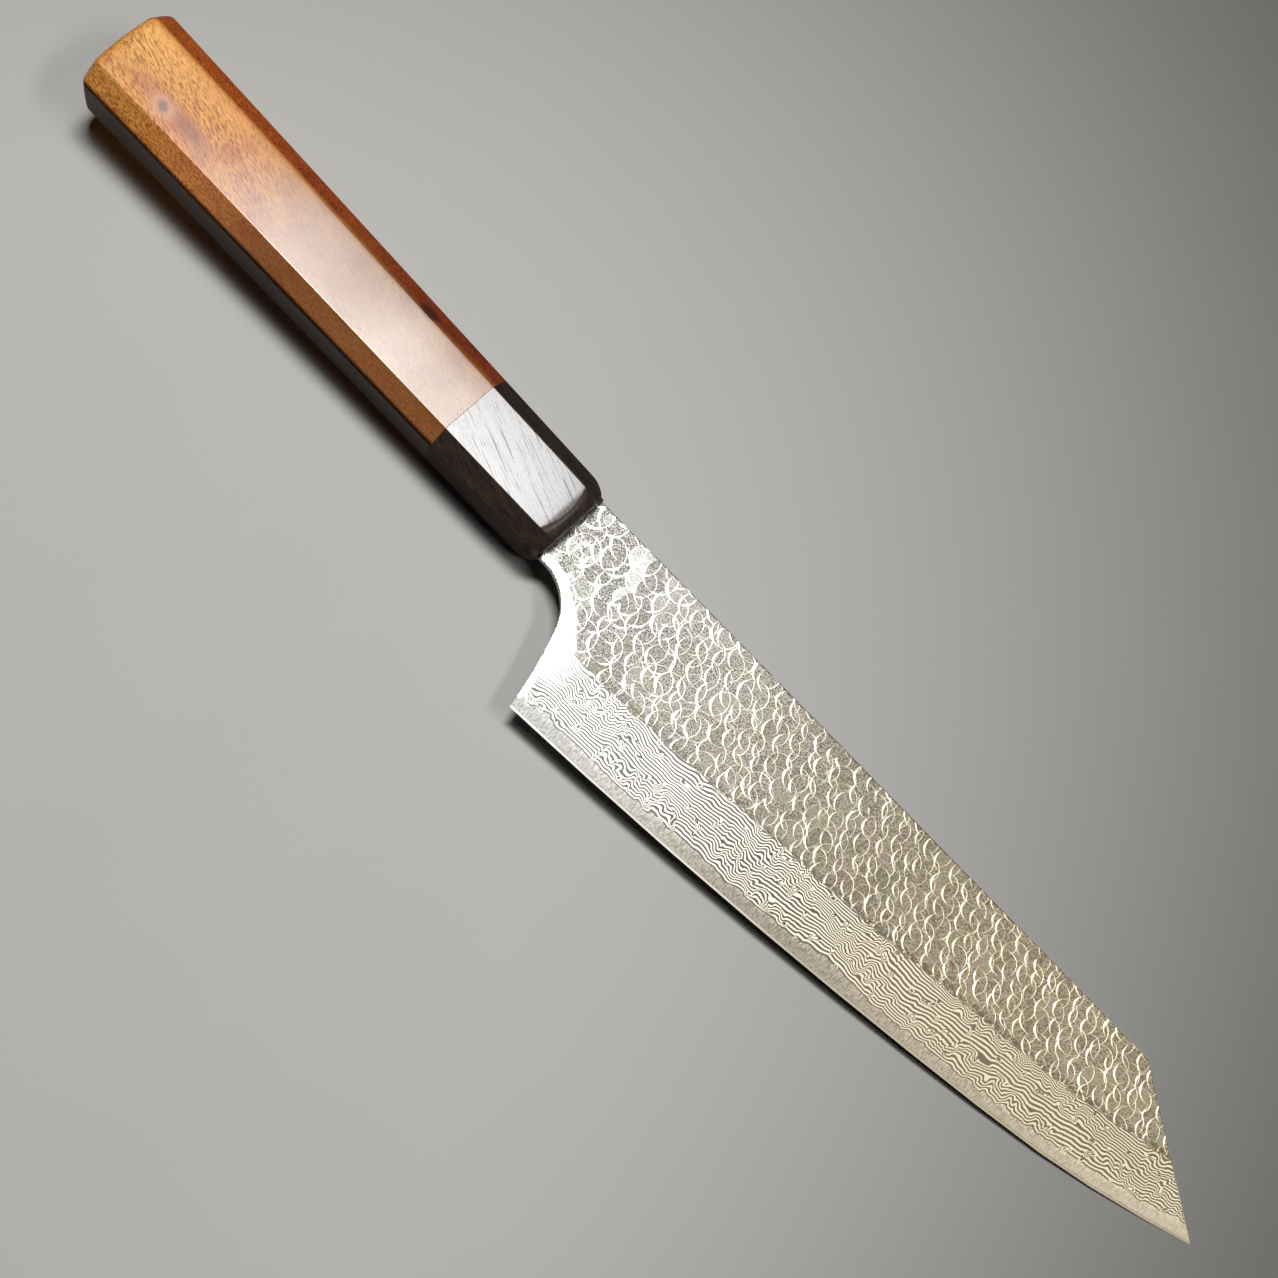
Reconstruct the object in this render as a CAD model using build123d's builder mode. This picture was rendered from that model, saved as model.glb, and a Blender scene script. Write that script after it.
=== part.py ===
from build123d import *
import math
import os

# A kitchen knife with an angled tip, lying on its side: +X runs from the handle to the tip,
# +Y from the cutting edge to the spine and +Z out of the face that is up.
# The origin is the middle of the ferrule's front, on the handle's axis. Lengths are millimetres.

# Octagonal handle: height is along Y, width along Z
handle_length = 145.0
ferrule_length = 33.5
butt_height = 25.4
butt_width = 20.8
butt_corner = 4.6
front_height = 21.7
front_width = 17.7
front_corner = 4.0
butt_crown = 1.2
butt_round = 2.0
front_crown = 0.6
front_round = 2.6

# Outline of the blade, measured from the origin
neck_top = 9.7
neck_drop = 9.3
neck_seat = 1.2
choil_start = 2.5
choil_turn_reach = 13.7
choil_turn_drop = 17.7
heel_reach = 19.3
heel_drop = 36.4
corner_reach = 168.4
corner_top = 13.3
tip_reach = 201.8
tip_drop = 8.2
neck_slope = -6.0

# Cutting edge between heel and tip: a straight share, a slow sweep and a belly near the tip
edge_slope_share = 0.453
edge_sweep_share = 0.415
belly_share = 1 - edge_slope_share - edge_sweep_share
belly_start_share = 0.743
station_shares = (0, 0.12, 0.25, 0.38, 0.5, 0.61, 0.71, 0.8, 0.87, 0.94, 1)

# Three-layer section of the blade: half thicknesses, from the edge up to the spine
neck_half_thickness = 1.1
corner_half_thickness = 0.8
core_half_thickness = 0.36
core_line_half_thickness = 0.27
core_line_height = 2.7
edge_bevel_height = 0.6
edge_bevel_half_thickness = 0.12
heel_ground_height = 17.5
tip_ground_height = 14.5

# Hidden tang, and the dowel that it is let into
tang_length = 68.0
tang_root_height = 12.0
tang_end_height = 5.5
dowel_diameter = 12.0
dowel_in_ferrule = 12.0
kerf_width = 2.8
kerf_room = 3.5
dowel_web = 4.0
glue_line = 0.1

# Mouth of the ferrule: a shallow seat for the neck and a slot for the tang
seat_depth = 1.6
seat_margin = 0.3
slot_margin = 0.5
seal_setback = 0.9
seat_height = neck_top + neck_drop + 2 * seat_margin
seat_width = 2 * (neck_half_thickness + seat_margin)
slot_height = tang_root_height + 2 * slot_margin
slot_width = 2 * (neck_half_thickness + seat_margin)

overrun = 2.0


def cross_plane(reach):
    """Plane across the knife at a distance from the ferrule's front, with +Y across and +Z up."""
    return Plane(origin=(reach, 0, 0), x_dir=(0, 1, 0), z_dir=(1, 0, 0))


def handle_octagon(reach):
    """Corner points of the handle's section, which tapers evenly from butt to front."""
    share = (reach + handle_length) / handle_length
    half_height = (butt_height + (front_height - butt_height) * share) / 2
    half_width = (butt_width + (front_width - butt_width) * share) / 2
    corner = butt_corner + (front_corner - butt_corner) * share
    return [
        (half_height, half_width - corner),
        (half_height - corner, half_width),
        (corner - half_height, half_width),
        (-half_height, half_width - corner),
        (-half_height, corner - half_width),
        (corner - half_height, -half_width),
        (half_height - corner, -half_width),
        (half_height, corner - half_width),
    ]


def handle_flats():
    """The handle's eight faces, as planes whose +Z points out of the wood."""
    butt = [Vector(-handle_length, across, up) for across, up in handle_octagon(-handle_length)]
    front = [Vector(0, across, up) for across, up in handle_octagon(0)]
    flats = []
    for index, corner in enumerate(butt):
        lengthwise = front[index] - corner
        around = corner - butt[index - 1]
        flats.append(Plane(origin=corner, x_dir=lengthwise, z_dir=around.cross(lengthwise)))
    return flats


def edge_rise_share(share):
    """How far the cutting edge has risen from heel to tip, as a share of the whole rise."""
    belly = max(0, share - belly_start_share) / (1 - belly_start_share)
    return edge_slope_share * share + edge_sweep_share * share ** 2 + belly_share * belly ** 2


def blade_levels(reach):
    """Heights of the edge, the top of its bevel, the core line, the ground line and the spine."""
    share = max(0, (reach - heel_reach) / (tip_reach - heel_reach))
    edge = -heel_drop + (heel_drop - tip_drop) * edge_rise_share(share)
    ground = edge + heel_ground_height + (tip_ground_height - heel_ground_height) * share
    spine = neck_top + (corner_top - neck_top) * reach / corner_reach
    return edge, edge + edge_bevel_height, edge + core_line_height, ground, spine


def spine_half_thickness(reach):
    """Half the blade's thickness at the spine, which thins towards the tip."""
    share = max(0, reach) / corner_reach
    return neck_half_thickness + (corner_half_thickness - neck_half_thickness) * share


def core_section(reach):
    """Section of the core: a bevelled edge, then slightly thicker up to the spine."""
    edge, bevel_top, core_line, _, spine = blade_levels(reach)
    return [
        (edge, 0),
        (bevel_top, edge_bevel_half_thickness),
        (core_line, core_line_half_thickness),
        (spine, core_half_thickness),
        (spine, -core_half_thickness),
        (core_line, -core_line_half_thickness),
        (bevel_top, -edge_bevel_half_thickness),
    ]


def cladding_section(reach, side):
    """Section of one cladding: even thickness above the ground line, a wedge below it."""
    _, _, core_line, ground, spine = blade_levels(reach)
    outside = spine_half_thickness(reach)
    return [
        (core_line, side * core_line_half_thickness),
        (ground, side * outside),
        (spine, side * outside),
        (spine, side * core_half_thickness),
    ]


blade_stations = [-tang_length - overrun]
for station_share in station_shares:
    blade_stations.append(heel_reach + (tip_reach - heel_reach) * station_share)
blade_stations.append(tip_reach + overrun)

# Side view of the blade and its tang. Below the cutting edge the outline runs wide of the steel,
# because the sections come to nothing there by themselves.
with BuildSketch() as blade_outline:
    with BuildLine():
        tang = Polyline(
            (-neck_seat, -neck_drop),
            (-neck_seat, -tang_root_height / 2),
            (-tang_length, -tang_end_height / 2),
            (-tang_length, tang_end_height / 2),
            (-neck_seat, tang_root_height / 2),
            (-neck_seat, neck_top - (corner_top - neck_top) * neck_seat / corner_reach),
            (corner_reach, corner_top),
            (tip_reach, -tip_drop),
            (tip_reach, -heel_drop - overrun),
            (heel_reach, -heel_drop - overrun),
            (heel_reach, -heel_drop),
        )
        neck = Line((-neck_seat, -neck_drop), (choil_start, -neck_drop))
        throat = TangentArc(
            (choil_start, -neck_drop),
            (choil_turn_reach, -choil_turn_drop),
            tangent=Vector(1, 0).rotate(Axis.Z, neck_slope),
        )
        choil = TangentArc(
            throat @ 1,
            (heel_reach, -heel_drop),
            tangent=throat % 1,
        )
    make_face()

# Core of hard steel, from the tang's end to the cutting edge
with BuildPart() as core_steel:
    for station in blade_stations:
        with BuildSketch(cross_plane(station)):
            Polygon(*core_section(station), align=None)
    loft(ruled=True)
    extrude(blade_outline.sketch, amount=neck_half_thickness + overrun, both=True, mode=Mode.INTERSECT)
core_steel.part.label = "core_steel"

# Softer patterned steel on each side of the core
claddings = {}
for side, name in ((1, "cladding_right"), (-1, "cladding_left")):
    with BuildPart() as cladding:
        for station in blade_stations:
            with BuildSketch(cross_plane(station)):
                Polygon(*cladding_section(station, side), align=None)
        loft(ruled=True)
        extrude(blade_outline.sketch, amount=neck_half_thickness + overrun, both=True, mode=Mode.INTERSECT)
    cladding.part.label = name
    claddings[name] = cladding.part

# Shape of the whole handle: eight flats and two crowned ends
half_diagonal = math.hypot(butt_height, butt_width) / 2
with BuildPart() as handle_shape:
    with BuildSketch():
        with BuildLine():
            butt_arc = TangentArc(
                (-handle_length, 0),
                (butt_crown - handle_length, half_diagonal),
                tangent=(0, 1),
            )
            front_arc = TangentArc((0, 0), (-front_crown, half_diagonal), tangent=(0, 1))
            Line(butt_arc @ 1, front_arc @ 1)
            Line(butt_arc @ 0, front_arc @ 0)
        make_face()
    revolve(axis=Axis.X)
    for flat in handle_flats():
        split(bisect_by=flat, keep=Keep.BOTTOM)
    fillet(handle_shape.faces().sort_by(Axis.X)[0].edges(), butt_round)
    fillet(handle_shape.faces().sort_by(Axis.X)[-1].edges(), front_round)

# Wooden grip: the handle behind the joint, with a blind bore for the dowel
joint_plane = cross_plane(-ferrule_length)
dowel_front = dowel_in_ferrule - ferrule_length
kerf_back = -tang_length - kerf_room
dowel_back = kerf_back - dowel_web
bore_radius = dowel_diameter / 2 + glue_line
with BuildPart() as handle_body:
    add(handle_shape.part)
    split(bisect_by=joint_plane, keep=Keep.BOTTOM)
    with BuildSketch(joint_plane):
        Circle(bore_radius)
    extrude(amount=dowel_back - glue_line + ferrule_length, mode=Mode.SUBTRACT)
handle_body.part.label = "handle_body"

# Dark wooden ferrule: bored for the dowel from behind, with a slot for the tang
# and a shallow seat for the neck in front
seat_middle = (neck_top - neck_drop) / 2
with BuildPart() as ferrule:
    add(handle_shape.part)
    split(bisect_by=joint_plane, keep=Keep.TOP)
    with BuildSketch(joint_plane):
        Circle(bore_radius)
    extrude(amount=dowel_in_ferrule, mode=Mode.SUBTRACT)
    with BuildSketch(cross_plane(dowel_front)):
        Rectangle(slot_height, slot_width)
    extrude(amount=-dowel_front, mode=Mode.SUBTRACT)
    with BuildSketch(cross_plane(-seat_depth)):
        with Locations((seat_middle, 0)):
            Rectangle(seat_height, seat_width)
    extrude(amount=seat_depth, mode=Mode.SUBTRACT)
ferrule.part.label = "ferrule"

# Dowel that joins grip and ferrule, sawn open in front for the tang
with BuildPart() as dowel:
    with BuildSketch(cross_plane(dowel_back)):
        Circle(dowel_diameter / 2)
    extrude(amount=dowel_front - dowel_back)
    with BuildSketch(cross_plane(kerf_back)):
        Rectangle(dowel_diameter, kerf_width)
    extrude(amount=dowel_front - kerf_back, mode=Mode.SUBTRACT)
dowel.part.label = "dowel"

# Resin that holds the tang: it fills the ferrule's slot and the dowel's kerf around the steel
with BuildPart() as tang_adhesive:
    with BuildSketch(cross_plane(dowel_front)):
        Rectangle(slot_height, slot_width)
    extrude(amount=-dowel_front - seat_depth)
    with BuildSketch(cross_plane(kerf_back)):
        Circle(dowel_diameter / 2)
        Rectangle(dowel_diameter, kerf_width, mode=Mode.INTERSECT)
    extrude(amount=dowel_front - kerf_back)
    for steel in (core_steel.part, *claddings.values()):
        add(steel, mode=Mode.SUBTRACT)
tang_adhesive.part.label = "tang_adhesive"

# Bead of dark sealer under and around the neck, in the ferrule's seat
with BuildPart() as neck_seal:
    with BuildSketch(cross_plane(-seat_depth)):
        with Locations((seat_middle, 0)):
            Rectangle(seat_height, seat_width)
    extrude(amount=seat_depth - seal_setback)
    for steel in (core_steel.part, *claddings.values()):
        add(steel, mode=Mode.SUBTRACT)
neck_seal.part.label = "neck_seal"

os.makedirs("parts", exist_ok=True)
for part in (core_steel.part, *claddings.values(), handle_body.part, ferrule.part,
             dowel.part, tang_adhesive.part, neck_seal.part):
    export_step(part, f"parts/{part.label}.step")
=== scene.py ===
import math
import random

import bmesh
import bpy
import numpy as np
from mathutils import Matrix, Vector


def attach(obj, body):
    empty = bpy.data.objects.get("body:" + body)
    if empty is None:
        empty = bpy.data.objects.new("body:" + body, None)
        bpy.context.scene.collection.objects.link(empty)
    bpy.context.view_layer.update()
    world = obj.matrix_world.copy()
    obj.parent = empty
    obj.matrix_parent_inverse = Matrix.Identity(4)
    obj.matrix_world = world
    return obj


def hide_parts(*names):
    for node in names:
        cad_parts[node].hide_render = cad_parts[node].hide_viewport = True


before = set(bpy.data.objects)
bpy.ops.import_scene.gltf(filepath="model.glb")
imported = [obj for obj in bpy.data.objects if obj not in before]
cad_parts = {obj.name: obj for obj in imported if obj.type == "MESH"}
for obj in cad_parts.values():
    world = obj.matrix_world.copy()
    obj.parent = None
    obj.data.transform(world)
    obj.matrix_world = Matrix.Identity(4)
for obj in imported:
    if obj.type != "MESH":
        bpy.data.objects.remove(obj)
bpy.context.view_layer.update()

# A kitchen knife with an angled tip. +X runs from handle to tip, +Y from edge to spine and
# +Z out of the upper face. Lengths below are millimetres until a mesh is written.
MM = 0.001
# Points of one mesh that lie within this many metres of one another are merged
merge_reach = 5e-8

# Handle
handle_length = 145.0
ferrule_length = 33.5
butt_height, butt_width, butt_corner = 25.4, 20.8, 4.6
front_height, front_width, front_corner = 21.7, 17.7, 4.0
butt_crown, butt_round = 1.5, 2.4
front_crown, front_round = 0.6, 2.6
front_bulge = 1.5
arris_round = 0.28
arris_support = 0.32
arris_places, flat_places = 5, 5
joint_chamfer = 0.05
bore_radius = 6.1
bore_back = -75.6
dowel_front = -21.5
seat_depth = 1.6
seat_half = (9.8, 1.4)
seat_middle = 0.2
slot_half = (6.5, 1.4)

# Blade outline
neck_back = -1.2
neck_top = 9.7
neck_drop = 9.3
choil_start = 2.5
choil_turn = (13.7, -17.7)
neck_slope = -6.0
heel = (19.3, -36.4)
corner = (168.4, 13.3)
tip = (201.8, -8.2)
tang_length = 68.0
tang_root = 6.0
tang_end = 2.75
edge_slope_share, edge_sweep_share, edge_belly_share = 0.453, 0.415, 0.132
belly_start_share = 0.743

# Blade section
neck_half_thickness = 1.1
corner_half_thickness = 0.8
core_half_thickness = 0.36
core_line_half_thickness = 0.27
core_line_height = 2.7
heel_ground_height = 17.5
tip_ground_drop = 3.0
tang_relief = 0.04

# Hammered finish: round marks struck one over another
column_step = 0.27
fine_rows = 112
coarse_rows = 8
ragged_depth = 2.5
mark_step = (3.8, 3.6)
neck_growth = 0.30
neck_reach = 75.0
mark_stray = 0.95
mark_stray_along = 1.3 * mark_stray
marks_start, marks_drop, marks_overrun = -6.0, 26.0, 2.0
row_shift_share = 0.38
order_stray = 4.0
mark_lean = 16
mark_radius = (2.5, 3.3)
mark_cover = 0.25
mark_depth = (0.014, 0.034)
mark_wall, wall_softness = 0.40, 0.25
bowl_depth = 0.014
lip_height = 0.010
lip_half_width = 0.115
lip_swell = 0.28
# Bearings round a mark, in degrees from +X, and how thick its lip is there
stroke_bearings, stroke_shares = (164, 182, 204, 212, 226, 264), (0, 0.16, 0.9, 1, 0.42, 0)
foot_bearings, foot_shares = (276, 300, 324, 350), (0, 0.9, 0.9, 0)
# Bearings round a mark where its painted highlight is brightest and faintest
bright_bearing, faint_bearing = 217, 36
face_lift = 0.03
rim_round = 0.16
spine_notch = 0.16
line_pitch = 0.76


# Shading

def paint(red, green, blue):
    """A display colour in 0 to 255 as the linear colour that a shader takes."""
    shares = [value / 255 for value in (red, green, blue)]
    return tuple(v / 12.92 if v <= 0.04045 else ((v + 0.055) / 1.055) ** 2.4 for v in shares) + (1.0,)


class Shade:
    """A socket of a finish, wrapped so that maths on it is written as maths."""

    def __init__(self, finish, socket):
        self.finish = finish
        self.socket = socket

    def maths(self, operation, *values):
        return self.finish.node("ShaderNodeMath", {"operation": operation}, dict(enumerate(values)))

    def __add__(self, other):
        return self.maths("ADD", self, other)

    __radd__ = __add__

    def __sub__(self, other):
        return self.maths("SUBTRACT", self, other)

    def __rsub__(self, other):
        return self.maths("SUBTRACT", other, self)

    def __mul__(self, other):
        return self.maths("MULTIPLY", self, other)

    __rmul__ = __mul__

    def __truediv__(self, other):
        return self.maths("DIVIDE", self, other)

    def __rtruediv__(self, other):
        return self.maths("DIVIDE", other, self)

    def __neg__(self):
        return self * -1

    def above(self, floor):
        return self.maths("MAXIMUM", self, floor)

    def below(self, ceiling):
        return self.maths("MINIMUM", self, ceiling)

    def sine(self):
        return self.maths("SINE", self)

    def size(self):
        return self.maths("ABSOLUTE", self)

    def step(self, low, high, start=0.0, end=1.0):
        """Runs smoothly from start at low to end at high, and stays there."""
        settings = {"interpolation_type": "SMOOTHSTEP"}
        inputs = {"Value": self, "From Min": low, "From Max": high, "To Min": start, "To Max": end}
        return self.finish.node("ShaderNodeMapRange", settings, inputs)


class Finish:
    """A procedural material under construction."""

    def __init__(self, name):
        self.material = bpy.data.materials.new(name)
        self.material.use_nodes = True
        self.tree = self.material.node_tree
        self.tree.nodes.clear()

    def node(self, kind, settings, inputs, output=0):
        """Adds one node: its settings first, then the values or links of its sockets."""
        made = self.tree.nodes.new(kind)
        for name, value in settings.items():
            if name == "stops":
                ramp = made.color_ramp
                while len(ramp.elements) < len(value):
                    ramp.elements.new(0.5)
                for element, (position, colour) in zip(ramp.elements, value):
                    element.position = position
                    element.color = colour
            else:
                setattr(made, name, value)
        for key, value in inputs.items():
            if isinstance(value, Shade):
                self.tree.links.new(value.socket, made.inputs[key])
            else:
                made.inputs[key].default_value = value
        return Shade(self, made.outputs[output]) if made.outputs else None

    def place(self):
        """Object coordinates in millimetres, as a vector."""
        spot = self.node("ShaderNodeTexCoord", {}, {}, "Object")
        return self.node("ShaderNodeVectorMath", {"operation": "SCALE"}, {0: spot, "Scale": 1 / MM})

    def split(self, vector):
        return [self.node("ShaderNodeSeparateXYZ", {}, {0: vector}, axis) for axis in range(3)]

    def vector(self, x, y, z=0.0):
        return self.node("ShaderNodeCombineXYZ", {}, {0: x, 1: y, 2: z})

    def turned(self, vector, angle=0.0, scale=(1, 1, 1), centre=(0, 0, 0)):
        """The vector measured from centre, turned about Z by angle in degrees, then scaled."""
        turn = Matrix.Rotation(math.radians(angle), 3, "Z")
        shift = -(turn @ Vector(centre))
        moved = self.node("ShaderNodeMapping", {"vector_type": "POINT"},
                          {"Vector": vector, "Location": shift, "Rotation": (0, 0, math.radians(angle))})
        return self.node("ShaderNodeVectorMath", {"operation": "MULTIPLY"}, {0: moved, 1: scale})

    def noise(self, vector, scale=1.0, detail=2.0, roughness=0.5, distortion=0.0):
        inputs = {"Vector": vector, "Scale": scale, "Detail": detail, "Roughness": roughness,
                  "Distortion": distortion}
        return self.node("ShaderNodeTexNoise", {}, inputs)

    def mix(self, factor, first, second, blend="MIX"):
        return self.node("ShaderNodeMix", {"data_type": "RGBA", "blend_type": blend},
                         {0: factor, 6: first, 7: second}, 2)

    def ramp(self, factor, *stops):
        return self.node("ShaderNodeValToRGB", {"stops": stops}, {0: factor})

    def attribute(self, name, output="Fac"):
        return self.node("ShaderNodeAttribute", {"attribute_name": name}, {}, output)

    def bump(self, height, distance, strength):
        inputs = {"Height": height, "Distance": distance, "Strength": strength}
        return self.node("ShaderNodeBump", {}, inputs)

    def surface(self, inputs):
        shader = self.node("ShaderNodeBsdfPrincipled", {}, inputs)
        self.node("ShaderNodeOutputMaterial", {}, {"Surface": shader})
        return self.material


# Meshes

def skin(name, points, attributes=None, sharp_angle=None):
    """A closed mesh through points[ring, place, axis], in millimetres, made from one grid.

    Places run round each ring and close on themselves; rings that shrink to a point, or to each
    other, are merged. Open ends are filled."""
    rings, places, _ = points.shape
    build = bmesh.new()
    bmesh.ops.create_grid(build, x_segments=rings - 1, y_segments=places, size=1.0)
    mesh = bpy.data.meshes.new(name)
    build.to_mesh(mesh)
    flat = np.empty(len(mesh.vertices) * 3, np.float32)
    mesh.vertices.foreach_get("co", flat)
    flat = flat.reshape(-1, 3)
    ring = np.rint((flat[:, 0] + 1) / 2 * (rings - 1)).astype(int)
    place = np.rint((flat[:, 1] + 1) / 2 * places).astype(int) % places
    mesh.vertices.foreach_set("co", (points[ring, place] * MM).astype(np.float32).ravel())
    for label, values in (attributes or {}).items():
        kind, field = ("FLOAT_VECTOR", "vector") if values.ndim == 3 else ("FLOAT", "value")
        layer = mesh.attributes.new(label, kind, "POINT")
        layer.data.foreach_set(field, values[ring, place].astype(np.float32).ravel())
    build.clear()
    build.from_mesh(mesh)
    bmesh.ops.remove_doubles(build, verts=build.verts, dist=merge_reach)
    open_edges = [edge for edge in build.edges if edge.is_boundary]
    if open_edges:
        bmesh.ops.holes_fill(build, edges=open_edges, sides=0)
    bmesh.ops.recalc_face_normals(build, faces=build.faces)
    if build.calc_volume(signed=True) < 0:
        bmesh.ops.reverse_faces(build, faces=build.faces)
    for face in build.faces:
        face.smooth = True
    build.to_mesh(mesh)
    build.free()
    if sharp_angle is not None:
        mesh.set_sharp_from_angle(angle=math.radians(sharp_angle))
    piece = bpy.data.objects.new(name, mesh)
    bpy.context.scene.collection.objects.link(piece)
    return piece


def settle(piece, slot, finish, *nodes):
    """Puts a piece on the knife in place of CAD nodes, with its finish."""
    piece.data.materials.append(finish)
    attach(piece, "root")
    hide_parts(*nodes)


def dress(node, finish):
    """Gives a CAD node its finish."""
    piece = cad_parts[node]
    piece.data.materials.clear()
    piece.data.materials.append(finish)


# The blade's outline

def tangent_arc(start, end, angle):
    """Centre, radius and end angle of a clockwise arc that leaves start at an angle in degrees."""
    heading = Vector((math.cos(math.radians(angle)), math.sin(math.radians(angle))))
    inward = Vector((heading.y, -heading.x))
    chord = Vector(end) - Vector(start)
    radius = chord.length_squared / (2 * chord.dot(inward))
    centre = Vector(start) + inward * radius
    spoke = Vector(end) - centre
    return centre, radius, math.degrees(math.atan2(-spoke.x, spoke.y))


throat_centre, throat_radius, throat_end = tangent_arc((choil_start, -neck_drop), choil_turn, neck_slope)
choil_centre, choil_radius, _ = tangent_arc(choil_turn, heel, throat_end)


def edge_height(x):
    share = np.clip((x - heel[0]) / (tip[0] - heel[0]), 0, None)
    belly = np.clip(share - belly_start_share, 0, None) / (1 - belly_start_share)
    rise = edge_slope_share * share + edge_sweep_share * share ** 2 + edge_belly_share * belly ** 2
    return heel[1] + (tip[1] - heel[1]) * rise


def ground_height(x):
    share = np.clip((x - heel[0]) / (tip[0] - heel[0]), 0, None)
    return edge_height(x) + heel_ground_height - tip_ground_drop * share


def spine_height(x):
    return neck_top + (corner[1] - neck_top) * x / corner[0]


def spine_half_thickness(x):
    share = np.clip(x, 0, None) / corner[0]
    return neck_half_thickness + (corner_half_thickness - neck_half_thickness) * share


def upper_outline(x):
    """The spine, then the straight slope down to the tip."""
    slope = (tip[1] - corner[1]) / (tip[0] - corner[0])
    return np.minimum(spine_height(x), corner[1] + slope * (x - corner[0]))


def arc_height(x, centre, radius):
    return centre.y + np.sqrt(np.clip(radius ** 2 - (x - centre.x) ** 2, 0, None))


def choil_height(x):
    return arc_height(x, choil_centre, choil_radius)


def lower_border(x):
    """The neck's underside, the throat and the choil, as one height for each x."""
    throat = arc_height(x, throat_centre, throat_radius)
    return np.where(x < choil_start, -neck_drop, np.where(x < choil_turn[0], throat, choil_height(x)))


def lower_outline(x):
    return np.maximum(lower_border(x), core_line(x))


def crossing(first, second, low, high):
    """Where two heights meet between low and high."""
    for _ in range(60):
        middle = (low + high) / 2
        if first(middle) > second(middle):
            low = middle
        else:
            high = middle
    return low


def core_line(x):
    return edge_height(x) + core_line_height


below_turn = 15.0
cladding_heel = crossing(choil_height, core_line, below_turn, heel[0])
cladding_tip = crossing(upper_outline, core_line, corner[0], tip[0])


def distance_to_choil(x, y):
    """Distance from the smooth border under the neck and down the choil."""
    along = np.concatenate([np.linspace(neck_back, choil_start, 12), np.linspace(choil_start, heel[0], 160)])
    gap = np.full(x.shape, np.inf)
    for spot_x, spot_y in zip(along, lower_border(along)):
        gap = np.minimum(gap, np.hypot(x - spot_x, y - spot_y))
    return gap


def eased(share):
    return share * share * (3 - 2 * share)


def strike_marks(x, y, columns, seed):
    """Depth and tone of overlapping round hammer marks at the grid's points, and their rims.

    Marks of one set never touch, so each set keeps, as one vector, the distance from a rim, how
    bright a painted highlight that rim carries, and how wide it is."""
    chance = random.Random(seed)
    depth = np.zeros(x.shape)
    tone = np.full(x.shape, 0.5)
    rims = [np.stack([np.full(x.shape, 9.0), np.zeros(x.shape), np.full(x.shape, lip_half_width)], 2)
            for _ in range(4)]
    marks = []
    across, column = marks_start, 0
    while across < tip[0] + marks_overrun:
        swollen = 1 + neck_growth * (1 - min(max(across / neck_reach, 0), 1))
        for row, down in enumerate(np.arange(-marks_overrun, marks_drop, mark_step[1])):
            centre_x = across + (row * row_shift_share % 1) * mark_step[0] * swollen
            centre_y = float(spine_height(centre_x)) - down * swollen
            centre_x += chance.uniform(-mark_stray_along, mark_stray_along) * swollen
            centre_y += chance.uniform(-mark_stray, mark_stray) * swollen
            order = centre_x + chance.uniform(-order_stray, order_stray)
            marks.append((order, centre_x, centre_y, swollen, 2 * (row % 2) + column % 2))
        across += mark_step[0] * swollen
        column += 1
    marks.sort()
    for _, centre_x, centre_y, swollen, own in marks:
        radius = chance.uniform(*mark_radius) * swollen
        sunk = chance.uniform(*mark_depth)
        shade = chance.random()
        strength = chance.uniform(0.5, 1.0)
        lean = math.radians(chance.uniform(-mark_lean, mark_lean))
        first, last = np.searchsorted(columns, (centre_x - 1.4 * radius, centre_x + 1.4 * radius))
        if last <= first:
            continue
        part = np.s_[first:last]
        away_x, away_y = x[part] - centre_x, y[part] - centre_y
        reach = np.hypot(away_x, away_y)
        angle = np.arctan2(away_y, away_x) - lean
        inside = eased(np.clip((radius - reach) / wall_softness + 0.5, 0, 1))
        bowl = sunk * np.clip((radius - reach) / mark_wall, -0.1, 1)
        bowl += bowl_depth * (1 - (reach / radius) ** 2)
        # Each rim gets a painted highlight: a thick stroke on the lower left, a thin one on the upper right,
        # and near the neck a thick one at its foot too; the thick strokes widen the lip as well
        bearing = np.degrees(angle) % 360
        lower = np.clip(np.cos(angle - math.radians(bright_bearing)), 0, 1)
        upper = np.clip(np.cos(angle - math.radians(faint_bearing)), 0, 1)
        foot = np.interp(bearing, foot_bearings, foot_shares) * (swollen - 1) / neck_growth
        thick = np.maximum(np.interp(bearing, stroke_bearings, stroke_shares), foot)
        painted_glint = np.maximum(np.maximum(0.85 * lower ** 1.5 + 0.5 * thick, upper), np.maximum(foot, 0.32))
        swell = lip_swell * swollen ** 1.8 * thick * strength
        width = lip_half_width + swell
        distance = reach - radius - 0.3 * swell
        ring = np.exp(-(distance / width) ** 2)
        depth[part] = depth[part] * (1 - 0.7 * inside) + inside * bowl - lip_height * ring * strength
        tone[part] = tone[part] * (1 - inside) + shade * inside
        for number, rim in enumerate(rims):
            if number == own:
                nearer = (distance < rim[part][:, :, 0])[:, :, None]
                facts = np.stack([distance, painted_glint * (0.35 + 0.65 * strength), width], 2)
                rim[part] = np.where(nearer, facts, rim[part])
            else:
                rim[part][:, :, 1] *= 1 - mark_cover * inside
    return depth, tone, rims


def rounding(reach):
    """How far a rounded rim falls away at a reach in from its border."""
    reach = np.clip(reach, 0, rim_round)
    return rim_round - np.sqrt(np.clip(rim_round ** 2 - (rim_round - reach) ** 2, 0, None))


def core_thickness(x, y, core):
    """Half thickness of the core at the grid's points; core is the height of its line."""
    share = np.clip((y - core[:, None]) / (spine_height(x) - core[:, None]), 0, 1)
    return core_line_half_thickness + (core_half_thickness - core_line_half_thickness) * share


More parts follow.
